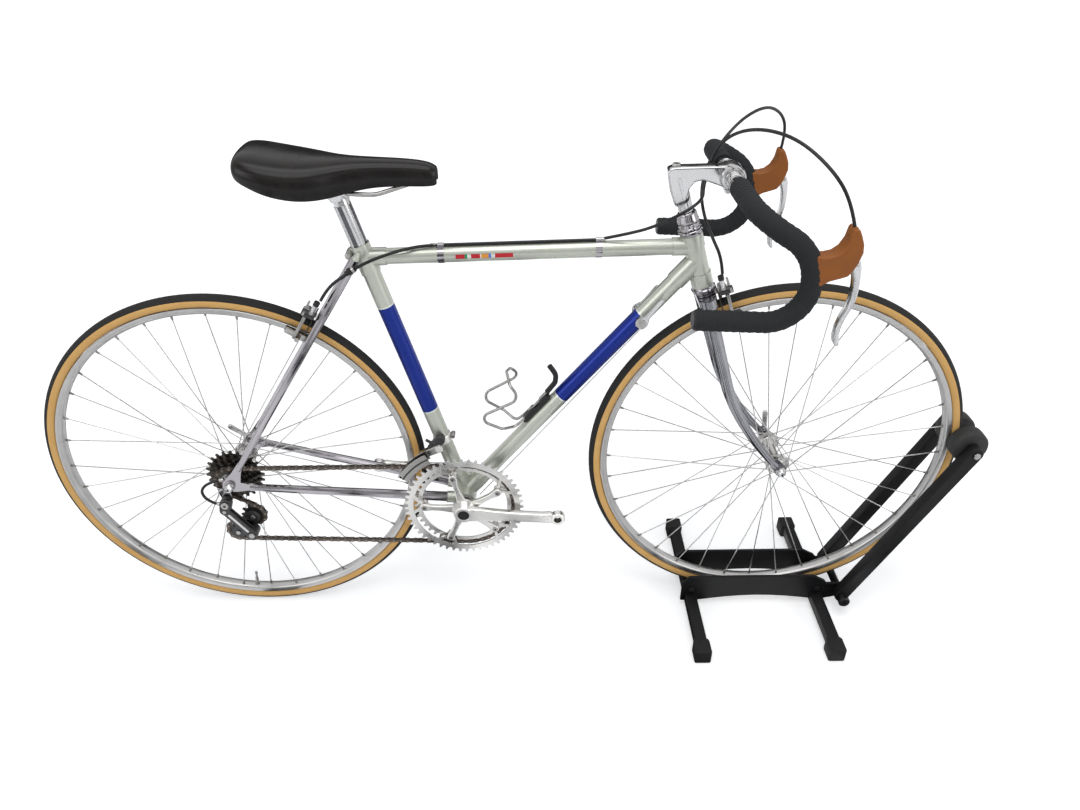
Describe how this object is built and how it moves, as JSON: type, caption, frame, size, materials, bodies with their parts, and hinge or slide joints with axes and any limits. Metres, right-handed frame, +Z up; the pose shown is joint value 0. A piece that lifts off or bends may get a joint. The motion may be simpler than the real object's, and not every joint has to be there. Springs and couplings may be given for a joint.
{
  "type": "road bicycle on a floor stand",
  "caption": "Lugged steel road bicycle with drop bars, side-pull brakes and derailleur gears, parked with its front wheel in a black floor stand.",
  "frame": {"origin": "on the floor, under the middle of the whole length and in the bicycle's middle plane", "axes": "+X forward along the bicycle, +Y to the rider's left, +Z up; the chain is on the -Y side"},
  "size_m": [1.6725, 0.3948, 0.9436],
  "materials": {
    "stand_steel": "black powder coat, satin",
    "cap_rubber": "matt black rubber",
    "grip_plastic": "matt black",
    "chrome": "chromed, slightly dulled",
    "polished_alloy": "polished alloy",
    "bar_tape": "black cloth tape",
    "hood_rubber": "tan-brown rubber",
    "steel": "plated steel",
    "cable_housing": "black housing",
    "tyre": "black tread with tan side walls",
    "rim_alloy": "grey anodised alloy",
    "spoke_steel": "plain steel",
    "hub_alloy": "polished alloy",
    "frame_paint": "metallic silver-green paint",
    "saddle_leather": "dark, glossy, worn",
    "mech_alloy": "dulled alloy",
    "cage_wire": "plated wire",
    "chain_steel": "dark oiled steel",
    "crank_alloy": "polished alloy",
    "cog_steel": "dark oiled steel"
  },
  "bodies": {
    "fork_on_stand": {"stand_base": "stand_steel", "stand_caps": "cap_rubber", "stand_arms": "stand_steel", "stand_grips": "grip_plastic", "fork_crown": "chrome", "fork_blades": "chrome", "fork_tips": "chrome", "headset_nuts": "chrome", "stem": "polished_alloy", "handlebar": "polished_alloy", "bar_tape": "bar_tape", "lever_hoods": "hood_rubber", "brake_levers": "polished_alloy", "front_brake": "polished_alloy", "front_skewer": "steel", "front_brake_cable": "cable_housing", "rear_brake_cable": "cable_housing"},
    "front_wheel": {"front_tyre": "tyre", "front_rim": "rim_alloy", "front_spokes": "spoke_steel", "front_hub": "hub_alloy"},
    "frame": {"head_tube": "frame_paint", "top_tube": "frame_paint", "down_tube": "frame_paint", "seat_tube": "frame_paint", "seat_lug": "frame_paint", "seatpost": "polished_alloy", "saddle": "saddle_leather", "saddle_rails": "steel", "bottom_bracket": "frame_paint", "chainstays": "chrome", "seatstays": "chrome", "dropouts": "chrome", "brake_bridge": "chrome", "headset_cups": "chrome", "rear_brake": "polished_alloy", "rear_skewer": "steel", "rear_derailleur": "mech_alloy", "front_derailleur": "mech_alloy", "shifters": "polished_alloy", "bottle_cage": "cage_wire", "chain": "chain_steel", "top_tube_cable": "cable_housing", "shift_cable_loop": "cable_housing", "cable_clips": "chrome"},
    "rear_wheel": {"rear_tyre": "tyre", "rear_rim": "rim_alloy", "rear_spokes": "spoke_steel", "rear_hub": "hub_alloy"},
    "cranks": {"right_crank": "crank_alloy", "left_crank": "crank_alloy", "crank_spindle": "steel", "big_chainring": "crank_alloy", "small_chainring": "crank_alloy"},
    "freewheel": {"freewheel": "cog_steel"}
  },
  "joints": [
    {"name": "steering", "type": "hinge", "parent": "fork_on_stand", "child": "frame", "pos_m": [0.30394, 0, 0.67159], "axis": [-0.3007, 0, 0.9537], "range_deg": [-60, 60], "deforming": ["rear_brake_cable"]},
    {"name": "front_wheel_spin", "type": "hinge", "parent": "fork_on_stand", "child": "front_wheel", "pos_m": [0.465, 0, 0.347], "axis": [0, 1, 0], "continuous": true},
    {"name": "rear_wheel_spin", "type": "hinge", "parent": "frame", "child": "rear_wheel", "pos_m": [-0.502, 0, 0.336], "axis": [0, 1, 0], "continuous": true},
    {"name": "crank_spin", "type": "hinge", "parent": "frame", "child": "cranks", "pos_m": [-0.098, 0, 0.266], "axis": [0, 1, 0], "continuous": true, "deforming": ["chain"]},
    {"name": "freewheel_spin", "type": "hinge", "parent": "frame", "child": "freewheel", "pos_m": [-0.502, 0, 0.336], "axis": [0, 1, 0], "continuous": true}
  ],
  "couplings": [
    {"joint": "freewheel_spin", "follows": "crank_spin", "ratio": 3.1429}
  ]
}
